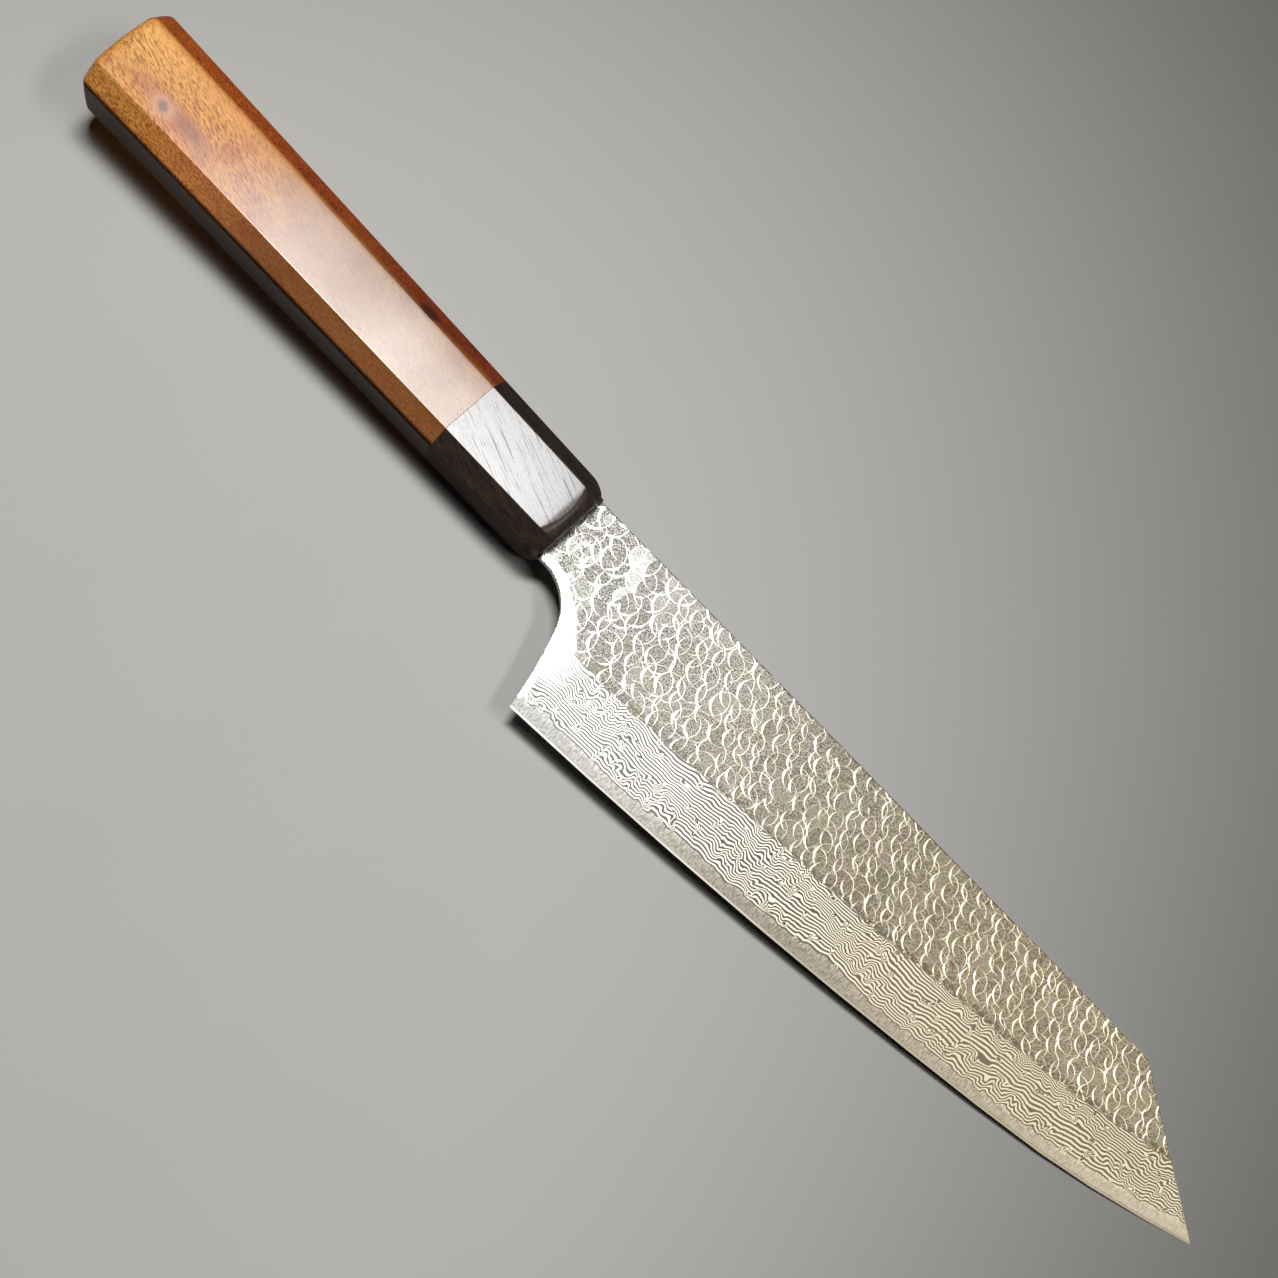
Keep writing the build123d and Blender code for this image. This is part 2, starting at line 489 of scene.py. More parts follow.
def make_cladding(name, side, seed, finish):
    """One patterned layer: hammered above the ground line, a plain wedge below it."""
    body = np.concatenate([
        np.arange(neck_back, cladding_heel - 0.1, column_step),
        [cladding_heel],
        np.arange(cladding_heel + column_step, corner[0] - 0.1, column_step),
        [corner[0]],
        np.arange(corner[0] + column_step, cladding_tip - 0.1, column_step),
        [cladding_tip],
    ])
    top = upper_outline(body)
    low = lower_outline(body)
    core = core_line(body)
    fine_start = np.minimum(ground_height(body) - ragged_depth, core + 0.6 * (top - core))
    fine_end = np.maximum(top - rim_round, fine_start)
    rows = [core + (fine_start - core) * share for share in np.linspace(0, 1, coarse_rows + 1)[:-1]]
    rows += [fine_start + (fine_end - fine_start) * share for share in np.linspace(0, 1, fine_rows)]
    rows += [fine_end + (top - fine_end) * share for share in (0.45, 0.8, 1.0)]
    y = np.stack(rows, axis=1)
    y = np.clip(y, low[:, None], top[:, None])
    x = np.repeat(body[:, None], y.shape[1], axis=1)

    gap = distance_to_choil(x, y)
    polish_width = 1.7 + 4.2 * np.clip((-9.0 - y) / 14.0, 0, 1)
    kept = eased(np.clip((gap - 0.5 * polish_width) / polish_width, 0, 1))
    near = np.clip((1.7 - gap) / 0.9, 0, 1)
    depth, tone, rims = strike_marks(x, y, body, seed)
    notch = spine_notch * np.clip(depth[:, -1] / mark_depth[1], -0.3, 1) * kept[:, -1]
    y[:, -4:] -= notch[:, None] * np.array([0.25, 0.6, 0.9, 1.0])
    top = y[:, -1]

    half = spine_half_thickness(x)
    hammered = half + face_lift * kept - depth * kept
    ground = ground_height(x)
    wedge_share = (y - core[:, None]) / (ground - core[:, None])
    wedge = core_line_half_thickness + (half - core_line_half_thickness) * wedge_share
    outside = np.minimum(hammered, wedge)
    cut = np.clip((hammered - wedge) / 0.02 + 0.5, 0, 1)
    shoulder = rounding(top[:, None] - y)
    brink = rounding(gap)
    inner = core_thickness(x, y, core)
    room = np.clip(outside - inner, 0, None)
    outside = outside - np.minimum(np.maximum(shoulder, brink), 0.6 * room)
    outside = np.maximum(outside, inner)

    # Inner face: three rows back down to the lower border
    middle = np.clip(fine_start, low, top)
    back_y = np.stack([top, middle, low], axis=1)
    back_x = np.repeat(body[:, None], 3, axis=1)
    back_z = core_thickness(back_x, back_y, core)
    back_z = np.minimum(back_z, np.stack([outside[:, -1], back_z[:, 1], outside[:, 0]], axis=1))

    section = np.stack([np.concatenate([x, back_x], 1), np.concatenate([y, back_y], 1),
                        np.concatenate([outside, back_z], 1)], axis=2)
    blank = np.zeros(back_x.shape)
    facts = {"tone": np.concatenate([tone * kept + 0.5 * (1 - kept), blank + 0.5], 1),
             "hammered": np.concatenate([(1 - cut) * kept, blank], 1),
             "polished": np.concatenate([np.maximum((1 - cut) * (1 - kept), near), blank], 1)}

    for number, rim in enumerate(rims):
        blank_rim = np.zeros(back_x.shape + (3,))
        blank_rim[:, :, 0] = 9.0
        facts["rim_%d" % number] = np.concatenate([rim, blank_rim], 1)

    # Tang: the same section, lower and a little thinner, run back into the handle
    tang = []
    for reach in (-tang_length, -40.0, -15.0, neck_back):
        share = (reach + tang_length) / (tang_length + neck_back)
        half_height = tang_end + (tang_root - tang_end) * share
        ring = section[0].copy()
        ring[:, 0] = reach - (0.01 if reach == neck_back else 0)
        span = (ring[:, 1] - ring[:, 1].min()) / np.ptp(ring[:, 1])
        ring[:, 1] = half_height * (2 * span - 1)
        count = x.shape[1]
        ring[:count, 2] = neck_half_thickness - tang_relief
        ring[count:, 2] = core_half_thickness
        tang.append(ring)
    section = np.concatenate([np.stack(tang), section])
    for label, values in facts.items():
        facts[label] = np.concatenate([np.repeat(values[:1], len(tang), axis=0), values])
    section[:, :, 2] *= side
    piece = skin("hammered_" + name, section, facts, sharp_angle=40)
    settle(piece, "patterned_steel", finish, name)


# The handle

def octagon(x, inset=0.0):
    """Half height, half width and corner of the handle's section, set in from its surface."""
    share = (x + handle_length) / handle_length
    half_height = (butt_height + (front_height - butt_height) * share) / 2
    half_width = (butt_width + (front_width - butt_width) * share) / 2
    cut = butt_corner + (front_corner - butt_corner) * share
    return half_height - inset, half_width - inset, cut - inset * (2 - math.sqrt(2))


def octagon_ring(x, inset=0.0, scale=1.0):
    """Places round the section: five to each slightly rounded long edge, five to each flat."""
    half_height, half_width, cut = octagon(x, inset)
    corners = [
        Vector((half_height, half_width - cut)), Vector((half_height - cut, half_width)),
        Vector((cut - half_height, half_width)), Vector((-half_height, half_width - cut)),
        Vector((-half_height, cut - half_width)), Vector((cut - half_height, -half_width)),
        Vector((half_height - cut, -half_width)), Vector((half_height, cut - half_width)),
    ]
    tangent = arris_round * math.tan(math.radians(22.5))
    places = []
    flats = np.linspace(0, 1, flat_places + 2)[1:-1]
    for index, spot in enumerate(corners):
        back = (corners[index - 1] - spot).normalized()
        ahead = (corners[(index + 1) % 8] - spot).normalized()
        inward = (back + ahead).normalized()
        centre = spot + inward * (arris_round / math.cos(math.radians(22.5)))
        middle = centre - inward * arris_round
        for place in (spot + back * arris_support, spot + back * tangent, middle,
                      spot + ahead * tangent, spot + ahead * arris_support):
            places.append((x, place.x * scale, place.y * scale))
        following = corners[(index + 1) % 8]
        for share in flats:
            place = spot.lerp(following, share)
            places.append((x, place.x * scale, place.y * scale))
    return np.array(places)


def box_ring(x, half, middle=0.0):
    """Places round a narrow mouth, matched to the octagon's."""
    tall, wide = half
    spots = [(tall, wide), (tall * 0.4, wide), (-tall * 0.4, wide), (-tall, wide),
             (-tall, -wide), (-tall * 0.4, -wide), (tall * 0.4, -wide), (tall, -wide)]
    count = arris_places + flat_places
    return np.array([(x, middle + up, across) for up, across in spots for _ in range(count)])


def round_ring(x, radius, like):
    """Places round a bore, each facing its place on another ring."""
    reach = np.hypot(like[:, 1], like[:, 2])
    return np.stack([np.full(len(like), x), like[:, 1] / reach * radius, like[:, 2] / reach * radius], 1)


half_diagonal = math.hypot(butt_height, butt_width) / 2


def make_grip(finish):
    """Octagonal grip with a crowned, rounded butt, bored from the front for the dowel."""
    def crowned(ring, turn):
        reach = np.hypot(ring[:, 1], ring[:, 2])
        crown = butt_crown * (reach / half_diagonal) ** 2
        ring[:, 0] = -handle_length + crown + butt_round * (1 - math.sin(turn))
        return ring

    rings = []
    for scale in (0.0, 0.2, 0.4, 0.6, 0.8, 0.93):
        rings.append(crowned(octagon_ring(-handle_length, butt_round, scale), math.pi / 2))
    for turn in np.radians((90, 80, 68, 56, 44, 32, 21, 12, 5, 0)):
        inset = butt_round * (1 - math.cos(turn))
        rings.append(crowned(octagon_ring(-handle_length + butt_round, inset), turn))
    for reach in (butt_round + butt_crown + 0.2, 5.0, 20, 50, 80, handle_length - ferrule_length - 0.5):
        rings.append(octagon_ring(reach - handle_length))
    rings.append(octagon_ring(-ferrule_length - joint_chamfer))
    rings.append(octagon_ring(-ferrule_length, joint_chamfer))
    rings.append(round_ring(-ferrule_length, bore_radius, rings[-1]))
    rings.append(round_ring(bore_back, bore_radius, rings[-1]))
    centre = rings[-1].copy()
    centre[:, 1:] = 0
    rings.append(centre)
    piece = skin("grip_of_figured_wood", np.stack(rings), sharp_angle=40)
    settle(piece, "grip_wood", finish, "handle_body")


def make_ferrule(finish):
    """Dark ferrule with a rounded front, a seat for the neck and a slot for the tang."""
    def crowned(ring, turn):
        reach = np.hypot(ring[:, 1], ring[:, 2])
        past = np.clip(reach ** 2 - (front_width / 2) ** 2, 0, None) / (front_height / 2 - front_corner) ** 2
        bulge = front_bulge * math.cos(turn) * past
        ring[:, 0] = -front_crown * (reach / half_diagonal) ** 2 - front_round * (1 - math.sin(turn)) - bulge
        return ring

    rings = [octagon_ring(-ferrule_length, joint_chamfer), octagon_ring(-ferrule_length + joint_chamfer)]
    for reach in (-ferrule_length + 0.5, -20.0, -6.5):
        rings.append(octagon_ring(reach))
    for turn in np.radians((0, 4, 9, 16, 25, 36, 48, 60, 75, 90)):
        inset = front_round * (1 - math.cos(turn))
        rings.append(crowned(octagon_ring(-front_round, inset), turn))
    rim, mouth = rings[-1], box_ring(0, seat_half, seat_middle)
    for share in (0.25, 0.5, 0.75, 0.97, 1.0):
        rings.append(crowned(rim * (1 - share) + mouth * share, math.pi / 2))
    rings.append(box_ring(-seat_depth, seat_half, seat_middle))
    rings.append(box_ring(-seat_depth, slot_half))
    rings.append(box_ring(dowel_front, slot_half))
    rings.append(round_ring(dowel_front, bore_radius, rings[0]))
    rings.append(round_ring(-ferrule_length, bore_radius, rings[0]))
    rings.append(rings[0])
    piece = skin("ferrule_of_dark_wood", np.stack(rings), sharp_angle=40)
    settle(piece, "ferrule_wood", finish, "ferrule")


# Finishes of the pieces

def height_over_edge(finish, x, y):
    """Height over the cutting edge, by the same curve as the blade's."""
    share = ((x - heel[0]) / (tip[0] - heel[0])).above(0)
    belly = (share - belly_start_share).above(0) / (1 - belly_start_share)
    rise = share * edge_slope_share + share * share * edge_sweep_share + belly * belly * edge_belly_share
    return y - heel[1] - rise * (tip[1] - heel[1]), share


def patterned_lines(finish, over_edge, x):
    """Contour lines of the layered steel, 0 to 1 across each, and the layer they are drawn from.

    They run along the edge, step up and down together in places, and close round small eyes."""
    flow = finish.vector(x, over_edge)
    slow = finish.noise(finish.turned(flow, 6, (0.07, 0.09, 1)), 1, 0.0, 0.4)
    lively = finish.noise(finish.turned(flow, 4, (0.045, 0.20, 1), (3, 2, 0)), 1, 0.0, 0.4)
    push = finish.noise(finish.turned(flow, 0, (0.20, 0.34, 1), (8, 19, 0)), 1, 0.0, 0.4)
    leant = finish.vector(x + (push - 0.5) * 3.0, over_edge)
    bend = finish.noise(finish.turned(leant, 2, (0.24, 0.07, 1), (31, 7, 0)), 1, 0.0, 0.35)
    fold = finish.noise(finish.turned(leant, -3, (0.48, 0.13, 1), (-13, 41, 0)), 1, 0.0, 0.4)
    wiggle = finish.noise(finish.turned(leant, 0, (0.34, 0.13, 1), (17, 3, 0)), 1, 0.0, 0.5)
    spots = finish.noise(finish.turned(flow, 0, (0.42, 0.46, 1), (5, -23, 0)), 1, 0.0, 0.4)
    steps = (bend.step(0.38, 0.62) - 0.5) * 1.2 + (fold.step(0.38, 0.62) - 0.5) * 0.8
    shift = (slow - 0.5) * 4.4 + steps * lively.step(0.41, 0.60, 0.15, 1.0) + (wiggle - 0.5) * 0.9
    layer = over_edge + shift * over_edge.step(core_line_height, core_line_height + 4.0, 0.5, 1.0)
    drawn = layer + (spots - 0.66).above(0) * 9.0
    return (drawn * (2 * math.pi / line_pitch)).sine().step(-0.40, 0.50), layer


def painted_warm_reflection(finish, share, colour):
    """The steel's colour, a little warmer toward the tip: a painted warm reflection."""
    return finish.mix(share.step(-0.1, 0.75), colour, paint(250, 236, 211), "MULTIPLY")


def core_look(finish, x, over_edge, z, brink):
    """Colour and roughness of the bare core; brink is 1 just under the patterned layer."""
    scratches = finish.noise(finish.vector(x * 4.2, over_edge * 0.9, z), 1, 2.0, 0.6)
    haze = finish.noise(finish.vector(x * 0.5, over_edge * 0.25, z), 1, 1.0, 0.5)
    satin = finish.mix(scratches.step(0.35, 0.65), paint(126, 125, 122), paint(170, 169, 165))
    hazed = finish.mix(scratches.step(0.38, 0.62), paint(122, 121, 118), paint(190, 188, 184))
    colour = finish.mix(brink * haze.step(0.3, 0.6, 0.5, 1.0), satin, hazed)
    colour = finish.mix(x.step(32, 50, 0.8, 0.0), colour, paint(232, 233, 233), "MULTIPLY")
    edge = over_edge.step(0.42, 0.62, 1.0, 0.0)
    # Painted shade: darker along the middle of the blade
    middle = 1 - ((x - 88).size() / 55).below(1)
    colour = finish.mix(middle.step(0, 1) * 0.8, colour, paint(208, 206, 202), "MULTIPLY")
    colour = finish.mix(x.step(130, 195) * 0.16, colour, paint(238, 236, 232))
    # Painted highlight on the cutting edge, brightest near the heel and fading toward the tip
    painted_edge_highlight = finish.mix(x.step(27, 42), paint(246, 245, 243), paint(220, 219, 216))
    painted_edge_highlight = finish.mix(x.step(70, 105), painted_edge_highlight, paint(194, 192, 188))
    colour = finish.mix(edge, colour, painted_edge_highlight)
    return colour, 0.50 + edge * 0.06 + (scratches - 0.5) * 0.12, scratches


def patterned_steel():
    finish = Finish("patterned_steel_hammered")
    place = finish.place()
    x, y, z = finish.split(place)
    over_edge, share = height_over_edge(finish, x, y)
    lines, layer = patterned_lines(finish, over_edge, x)
    hammered = finish.attribute("hammered")
    polished = finish.attribute("polished")
    tone = finish.attribute("tone")
    speckle = finish.noise(place, 2.9, 1.0, 0.6)
    ragged = finish.noise(place, 1.6, 2.0, 0.6)
    # Painted highlight along the rims of the marks, gathered from the four sets
    rim = hammered * 0
    for number in range(4):
        distance, painted_glint, width = finish.split(finish.attribute("rim_%d" % number, "Vector"))
        off_rim = (distance + (ragged - 0.5) * 0.22).size() / width
        rim = rim.above(off_rim.step(0.35, 1.0, 1.0, 0.0) * painted_glint)
    rim = rim * ragged.step(0.25, 0.5, 0.6, 1.0)
    cloud = finish.noise(place, 0.12, 2.0, 0.5)
    patches = (finish.noise(place, 0.40, 1.0, 0.5) + (speckle - 0.5) * 0.5).step(0.52, 0.66)
    valley = finish.ramp(
        x.step(20, 150), (0.0, paint(116, 116, 113)), (0.42, paint(86, 86, 83)),
        (0.58, paint(90, 89, 85)), (1.0, paint(116, 114, 107)))
    ridge = finish.mix(x.step(60, 150), paint(202, 201, 196), paint(190, 188, 182))
    etched = finish.mix(lines, valley, ridge)
    # Painted glare high on the blade near the heel
    painted_heel_glare = x.step(17, 26, 1.0, 0.0) * over_edge.step(7, 11)
    etched = finish.mix(painted_heel_glare * 0.7, etched, paint(236, 236, 233))
    bare = layer.step(core_line_height + 0.70, core_line_height + 0.85, 1.0, 0.0)
    brink = layer.step(core_line_height - 0.3, core_line_height + 0.7)
    core_colour, core_rough, _ = core_look(finish, x, over_edge, z, brink)
    etched = finish.mix(bare, etched, core_colour)
    grain = speckle.step(0.38, 0.60)
    pocked = finish.mix(x.step(10, 100), paint(54, 53, 51), paint(100, 98, 92))
    smooth = finish.mix(x.step(60, 130), paint(172, 170, 164), paint(157, 155, 148))
    pit = finish.mix(grain, pocked, smooth)
    near = x.step(14, 54, 1.0, 0.0)
    pit = finish.mix(ragged.step(0.50, 0.60) * near * 0.6, pit, paint(88, 87, 83))
    pit = finish.mix(tone.step(0.55, 1.0) * 0.35, pit, paint(150, 149, 143))
    pit = finish.mix(tone.step(0.0, 0.4, 1.0, 0.0) * 0.35, pit, paint(104, 102, 92))
    # Rims painted near-white where their painted highlight falls
    struck = finish.mix(rim.step(0.05, 0.75), pit, paint(246, 245, 238))
    # Jagged dark specks where the grinding runs out into the marks
    ground_top = heel_ground_height - share * tip_ground_drop
    run_out = (over_edge - ground_top - 0.3).size().step(0.4, 1.5, 1.0, 0.0)
    jag = finish.noise(finish.vector(x * 0.9, over_edge * 1.7, z), 1, 2.0, 0.7)
    dark = run_out * jag.step(0.44, 0.56) * x.step(20, 34)
    struck = finish.mix(dark * 0.75, struck, paint(86, 83, 74))
    # Painted shade: darker along the middle of the blade
    middle = 1 - ((x - 88).size() / 75).below(1)
    struck = finish.mix(middle.step(0, 1) * 0.9, struck, paint(220, 217, 212), "MULTIPLY")
    # Painted glare in patches near the neck
    painted_neck_glare = (patches * 0.25 + tone.step(0.65, 0.95) * grain.step(0, 1, 0.2, 0.6)).below(1)
    painted_neck_glare = painted_neck_glare * x.step(8, 30, 1.0, 0.0)
    struck = finish.mix(painted_neck_glare * 0.7, struck, paint(244, 244, 241))
    hue = finish.noise(place, 0.22, 1.0, 0.5)
    struck = finish.mix(hue.step(0.52, 0.64) * 0.4, struck, paint(247, 253, 234), "MULTIPLY")
    struck = finish.mix(hue.step(0.36, 0.48, 1.0, 0.0) * 0.4, struck, paint(255, 248, 252), "MULTIPLY")
    colour = finish.mix(hammered, etched, struck)
    colour = finish.mix(polished, colour, paint(206, 204, 200))
    colour = painted_warm_reflection(finish, share, colour)
    etched_rough = lines.step(0.0, 1.0, 0.60, 0.47) * (1 - bare) + core_rough * bare
    struck_rough = (0.54 + (grain - 0.5) * 0.06) - rim * 0.12
    rough = etched_rough * (1 - hammered) + struck_rough * hammered + (cloud - 0.5) * 0.05 - polished * 0.20
    relief = lines * (1 - hammered) * (1 - bare) * 0.35 + (speckle - 0.5) * hammered * 0.6
    return finish.surface({
        "Base Color": colour, "Metallic": 1.0, "Roughness": rough,
        "Normal": finish.bump(relief, 0.00002, 0.5),
    })


def core_steel():
    finish = Finish("core_steel_ground")
    place = finish.place()
    x, y, z = finish.split(place)
    over_edge, share = height_over_edge(finish, x, y)
    brink = over_edge.step(core_line_height - 0.7, core_line_height + 1.2)
    colour, rough, scratches = core_look(finish, x, over_edge, z, brink)
    colour = painted_warm_reflection(finish, share, colour)
    return finish.surface({
        "Base Color": colour, "Metallic": 1.0, "Roughness": rough,
        "Normal": finish.bump(scratches, 0.00001, 0.4),
    })


def half_along(x, butt, front):
    """Half of a size of the handle that runs from the butt's to the front's."""
    return (x * ((front - butt) / handle_length) + front) / 2


def lowest_facet(x, y):
    """1 on the handle's facet below, 0 away from it."""
    return (half_along(x, butt_height, front_height) + y).step(0.3, 1.0, 1.0, 0.0)


def grip_wood():
    finish = Finish("grip_wood_lacquered")
    place = finish.place()
    x, y, z = finish.split(place)
    grain_angle = 17
    # Growth bands, short dark strokes, long fibres and lighter curl, all at one angle
    wander = finish.noise(finish.turned(place, grain_angle, (0.02, 0.07, 0.07)), 1, 2.0, 0.5, 0.3)
    bands = finish.noise(finish.turned(place, grain_angle, (0.016, 0.30, 0.22)), 1, 3.0, 0.55, 0.6)
    strokes = finish.noise(finish.turned(place, grain_angle, (0.60, 4.6, 4.6)), 1, 1.0, 0.5, 0.2)
    fibres = finish.noise(finish.turned(place, grain_angle, (0.22, 3.6, 3.6)), 1, 2.0, 0.5)
    curl = finish.noise(finish.turned(place, grain_angle + 6, (0.20, 0.11, 0.11), (40, 0, 0)), 1, 1.0, 0.5)
    base = finish.ramp(
        bands, (0.36, paint(186, 102, 40)), (0.5, paint(203, 121, 50)), (0.66, paint(218, 143, 64)))
    top_face = (z.size() - half_along(x, butt_width, front_width)).step(-0.9, -0.1)
    streak = strokes.step(0.45, 0.60) * (1 - top_face * x.step(-114.0, -80.0) * 0.5)
    # Golden toward the butt, more on the top face, where the extra is painted light
    golden_with_painted_top_light = x.step(-140.0, -104.0, 1.0, 0.0) * (0.3 + top_face * 0.5)
    base = finish.mix(golden_with_painted_top_light, base, paint(250, 192, 106))
    colour = finish.mix(streak * 0.7, base, paint(122, 54, 18))
    colour = finish.mix((1 - streak) * curl.step(0.3, 0.6, 0.2, 0.62), colour, paint(236, 164, 84))
    colour = finish.mix(fibres.step(0.52, 0.72) * 0.25, colour, paint(128, 58, 18))
    rosy = wander.step(0.50, 0.66) * 0.22
    colour = finish.mix(rosy, colour, paint(168, 80, 40))

    def blot(centre, angle, size, soft):
        """1 inside a long spot on the wood, 0 away from it."""
        spot = finish.turned(place, angle, [1 / s for s in size], centre)
        reach = finish.node("ShaderNodeVectorMath", {"operation": "LENGTH"}, {0: spot}, "Value")
        ragged = reach + (wander - 0.5) * 0.6 + (strokes - 0.5) * 0.7
        return ragged.step(1.0 - soft, 1.0 + soft, 1.0, 0.0)

    flame = blot((-124.2, -3.6, 10.2), 2, (12.0, 2.5, 5.0), 0.6)
    colour = finish.mix(flame * 0.62, colour, paint(176, 112, 88))
    violet = blot((-118.8, -3.6, 10.2), 2, (5.5, 1.5, 4.0), 0.7)
    colour = finish.mix(violet * 0.5, colour, paint(136, 88, 84))
    eye_ring = blot((-126.2, -4.2, 10.2), 0, (3.6, 2.3, 3.0), 0.6)
    colour = finish.mix(eye_ring * 0.65, colour, paint(228, 176, 146))
    eye = blot((-126.3, -4.2, 10.2), 25, (1.6, 1.1, 2.5), 0.5)
    colour = finish.mix(eye * 0.8, colour, paint(124, 112, 102))
    pin = blot((-54.8, 8.3, 9.0), 0, (2.4, 1.5, 2.4), 0.4)
    colour = finish.mix(pin * 0.85, colour, paint(84, 30, 16))
    pores = finish.noise(finish.turned(place, grain_angle, (0.9, 7.5, 7.5), (5, 9, 2)), 1, 1.0, 0.5)
    pores = pores.step(0.66, 0.74)
    colour = finish.mix(pores * 0.5, colour, paint(84, 40, 20))
    upper_side = (y - z * 0.15).step(4.5, 7.5)
    # Painted shade: the upper side darker and a deeper orange, more so toward the ferrule
    colour = finish.mix(upper_side * 0.9, colour, paint(180, 118, 14), "MULTIPLY")
    colour = finish.mix(upper_side * x.step(-84, -54) * 0.8, colour, paint(200, 164, 120), "MULTIPLY")
    # Painted light: the far half of the top face lighter toward the butt
    far_half_painted_light = top_face * y.step(1, 8) * x.step(-100, -60, 1, 0)
    colour = finish.mix(far_half_painted_light * 0.30, colour, paint(250, 186, 108))
    lower_side = (-y - z * 0.15).step(4.5, 7.5)
    colour = finish.mix(lower_side * x.step(-128.0, -84.0) * 0.5, colour, paint(212, 132, 100))
    under_side = lowest_facet(x, y)
    # Painted shade: the lowest facet nearly black
    colour = finish.mix(under_side * 0.95, colour, paint(50, 45, 42), "MULTIPLY")
    deep = x.step(-116, -84) * (1 - upper_side * 0.55)
    colour = finish.mix(deep * 0.62, colour, paint(134, 132, 100), "MULTIPLY")
    colour = finish.mix(top_face * x.step(-98.0, -66.0) * 0.7, colour, paint(220, 236, 210), "MULTIPLY")
    along = x - y * 1.8
    gloss = 0.45 + along.step(-124, -90) * 0.52 - x.step(-92, -64) * 0.44 - x.step(-58, -40) * 0.18
    gloss = gloss - y.step(0, 9) * 0.14
    coat = (gloss - pores * 0.2) * (1 - under_side) * (1 - upper_side * 0.98)
    rough = 0.42 + (strokes - 0.5) * 0.16
    relief = strokes * 0.6 - pores * 0.5
    return finish.surface({
        "Base Color": colour, "Roughness": rough, "Specular IOR Level": 0.08,
        "Coat Weight": coat, "Coat Roughness": 0.23, "Coat IOR": 1.7,
        "Normal": finish.bump(relief, 0.00002, 0.35),
    })


def ferrule_wood():
    finish = Finish("ferrule_wood_polished")
    place = finish.place()
    x, y, _ = finish.split(place)
    under_side = lowest_facet(x, y)
    coat = (1 - under_side * 0.95) * (1 - y.step(6.8, 7.4) * 0.97) * x.step(-4.6, -3.2, 1.0, 0.25)
    grain_angle = 19
    bands = finish.noise(finish.turned(place, grain_angle, (0.03, 0.5, 0.5)), 1, 3.0, 0.6, 0.4)
    fibres = finish.noise(finish.turned(place, grain_angle, (0.10, 3.8, 3.8)), 1, 3.0, 0.6, 0.3)
    cracks = finish.noise(finish.turned(place, grain_angle, (0.07, 3.0, 3.0), (3, 5, 8)), 1, 2.0, 0.6)
    pores = finish.noise(finish.turned(place, grain_angle, (0.8, 6.5, 6.5), (7, 1, 4)), 1, 1.0, 0.5)
    pores = pores.step(0.60, 0.72)
    open_grain = cracks.step(0.57, 0.68)
    colour = finish.ramp(
        bands, (0.32, paint(46, 37, 32)), (0.55, paint(62, 50, 43)), (0.75, paint(76, 60, 50)))
    colour = finish.mix(fibres.step(0.45, 0.7) * 0.4, colour, paint(24, 20, 20))
    # Painted shade: the upper side darker
    colour = finish.mix(y.step(6.4, 7.4), colour, paint(178, 166, 158), "MULTIPLY")
    colour = finish.mix((open_grain + pores * 0.6).below(1) * 0.7, colour, paint(14, 11, 10))
    rough = 0.40 + (fibres - 0.5) * 0.25 + under_side * 0.3
    relief = fibres * 0.5 - open_grain * 1.0 - pores * 0.7
    coat = (0.72 - open_grain * 0.36 - pores * 0.2 + (fibres - 0.5) * 0.3) * coat
    return finish.surface({
        "Base Color": colour, "Roughness": rough, "Specular IOR Level": 0.05,
        "Coat Weight": coat, "Coat Roughness": 0.27, "Coat IOR": 1.66,
        "Normal": finish.bump(relief, 0.00003, 0.5),
    })


def dowel_wood():
    finish = Finish("dowel_wood_bare")
    place = finish.place()
    fibres = finish.noise(finish.turned(place, 0, (0.1, 2.6, 2.6)), 1, 3.0, 0.6)
    colour = finish.mix(fibres.step(0.3, 0.7), paint(196, 158, 112), paint(222, 190, 146))
    return finish.surface({"Base Color": colour, "Roughness": 0.6 + fibres * 0.1,
                           "Normal": finish.bump(fibres, 0.00004, 0.4)})


def resin():
    finish = Finish("resin_cured")
    place = finish.place()
    cloud = finish.noise(place, 0.5, 2.0, 0.5)
    colour = finish.mix(cloud.step(0.3, 0.7), paint(120, 104, 74), paint(150, 132, 96))
    return finish.surface({"Base Color": colour, "Roughness": 0.25 + cloud * 0.1})


def sealer():
    finish = Finish("sealer_dark")
    place = finish.place()
    cloud = finish.noise(place, 1.5, 2.0, 0.5)
    colour = finish.mix(cloud.step(0.3, 0.7), paint(20, 17, 16), paint(40, 34, 30))
    return finish.surface({"Base Color": colour, "Roughness": 0.45 + cloud * 0.15,
                           "Normal": finish.bump(cloud, 0.00005, 0.3)})


steel = patterned_steel()
make_cladding("cladding_right", 1, 11, steel)
make_cladding("cladding_left", -1, 23, steel)
make_grip(grip_wood())
make_ferrule(ferrule_wood())
dress("core_steel", core_steel())
dress("dowel", dowel_wood())
dress("tang_adhesive", resin())
dress("neck_seal", sealer())


# Stage

rest_spot = Vector((-2.7, 0, -8.9)) * MM
rest_slope = 0.0436
floor_size = 6.0
# Middle and reach of the pool of light painted on the floor
painted_light_pool_middle, painted_light_pool_reach = (-56, -237, 0), (363, 518)


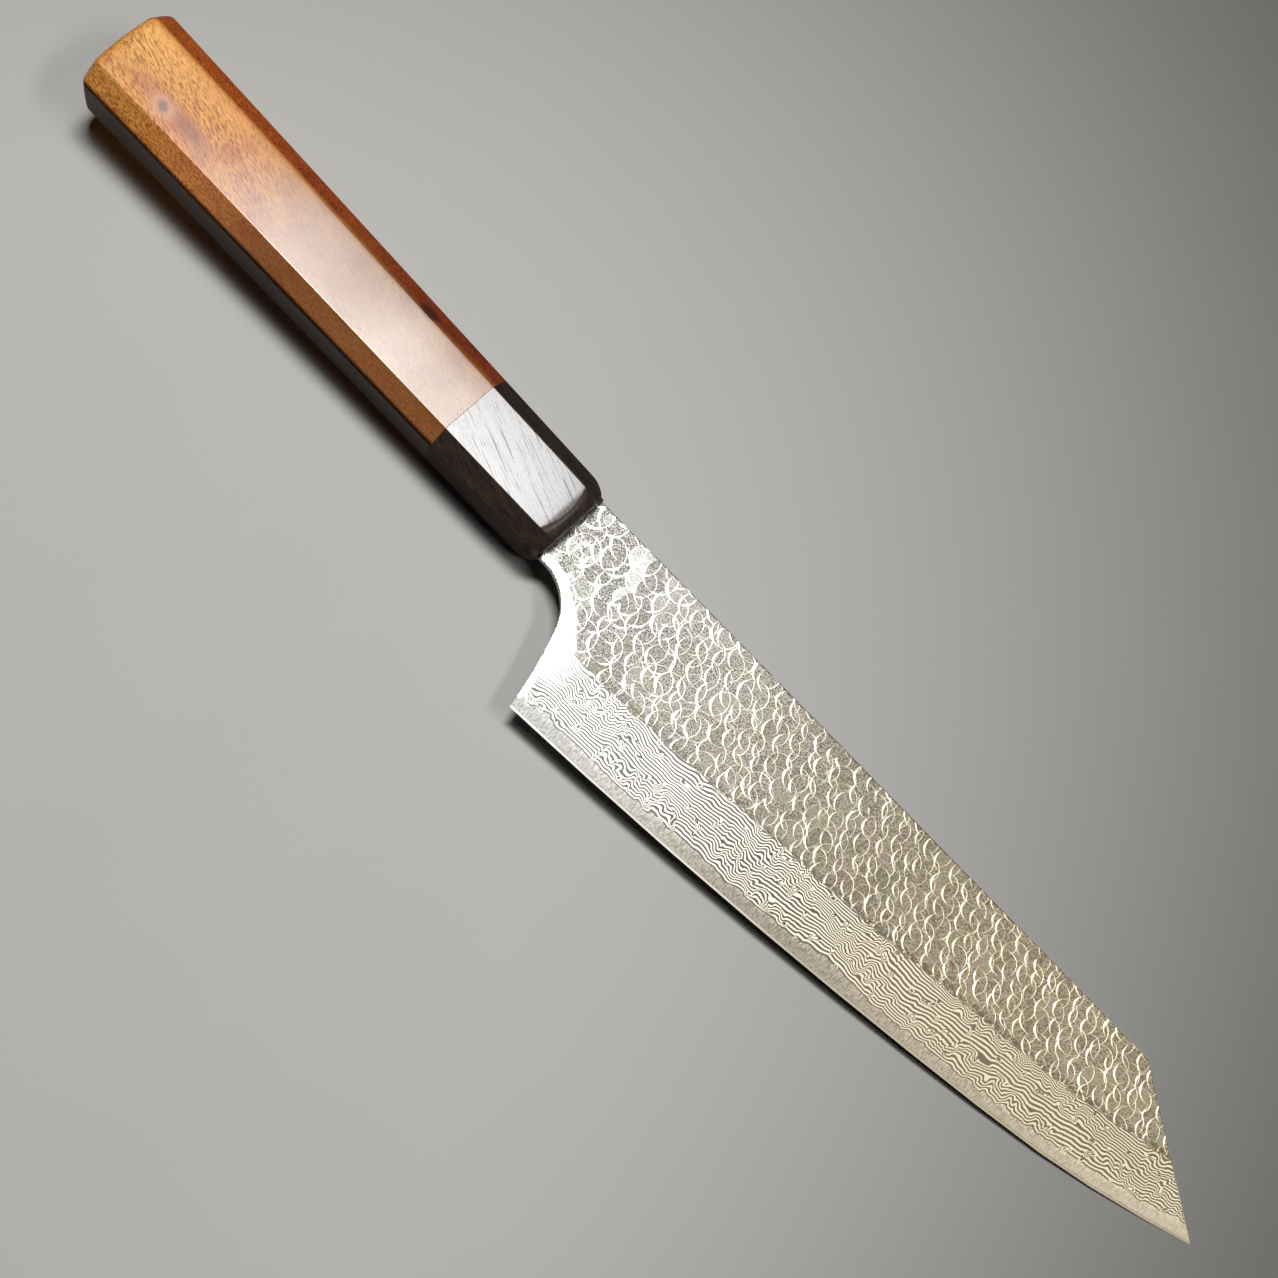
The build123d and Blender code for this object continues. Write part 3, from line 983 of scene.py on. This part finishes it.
def floor_finish():
    finish = Finish("floor_mat")
    place = finish.place()
    x, y, z = finish.split(place)
    fine = finish.noise(place, 2.2, 2.0, 0.6)
    mottle = finish.noise(place, 0.02, 2.0, 0.5)
    fade = finish.turned(place, 0, (1 / painted_light_pool_reach[0], 1 / painted_light_pool_reach[1], 0), painted_light_pool_middle)
    reach = finish.node("ShaderNodeVectorMath", {"operation": "LENGTH"}, {0: fade}, "Value")
    # Painted light: the floor darker away from the pool's middle
    shade = reach.step(0.42, 1.04)
    colour = finish.mix(shade, paint(183, 182, 178), paint(88, 86, 82))
    specks = (fine - 0.5).size() * 0.25 + (mottle - 0.5).size() * 0.15
    colour = finish.mix(specks, colour, paint(150, 149, 146))
    return finish.surface({"Base Color": colour, "Roughness": 0.85, "Specular IOR Level": 0.2})


build = bmesh.new()
bmesh.ops.create_grid(build, x_segments=1, y_segments=1, size=floor_size / 2)
tilt = Matrix.Rotation(-math.atan(rest_slope), 4, "Y")
bmesh.ops.transform(build, matrix=Matrix.Translation(rest_spot) @ tilt, verts=build.verts)
floor_mesh = bpy.data.meshes.new("floor")
build.to_mesh(floor_mesh)
build.free()
floor = bpy.data.objects.new("floor", floor_mesh)
floor.data.materials.append(floor_finish())
bpy.context.scene.collection.objects.link(floor)


def lamp(name, spot, aim, size, power):
    data = bpy.data.lights.new(name, "AREA")
    data.shape = "RECTANGLE"
    data.size, data.size_y = size
    data.energy = power
    made = bpy.data.objects.new(name, data)
    bpy.context.scene.collection.objects.link(made)
    made.location = spot
    made.rotation_mode = "QUATERNION"
    made.rotation_quaternion = (Vector(aim) - Vector(spot)).to_track_quat("-Z", "Y")


lamp("key_softbox", (-0.19, 0.185, 1.0), (-0.03, 0.0, 0.0), (0.30, 0.15), 9.2)
lamp("ceiling_panel", (0.58, 0.205, 1.1), (0.18, 0.0, 0.0), (0.50, 0.15), 4.3)

world = bpy.data.worlds.new("room")
world.use_nodes = True
bpy.context.scene.world = world
world.node_tree.nodes["Background"].inputs["Color"].default_value = (0.002, 0.002, 0.002, 1)

# Camera at the photograph's angle
camera_data = bpy.data.cameras.new("camera")
sensor_width, focal_pixels, frame_pixels = 36, 2400, 1278
camera_data.sensor_width = sensor_width
camera_data.lens = sensor_width * focal_pixels / frame_pixels
camera_data.clip_start, camera_data.clip_end = 0.01, 20
camera = bpy.data.objects.new("camera", camera_data)
bpy.context.scene.collection.objects.link(camera)
right = Vector((0.68384, 0.71179, 0.16037)).normalized()
forward = Vector((-0.04506, 0.26058, -0.9644)).normalized()
up = right.cross(forward).normalized()
pose = Matrix((right, up, -forward)).transposed().to_4x4()
pose.translation = Vector((50.701, -140.729, 501.078)) * MM
camera.matrix_world = pose
bpy.context.scene.camera = camera

view = bpy.context.scene.view_settings
view.view_transform = "Standard"
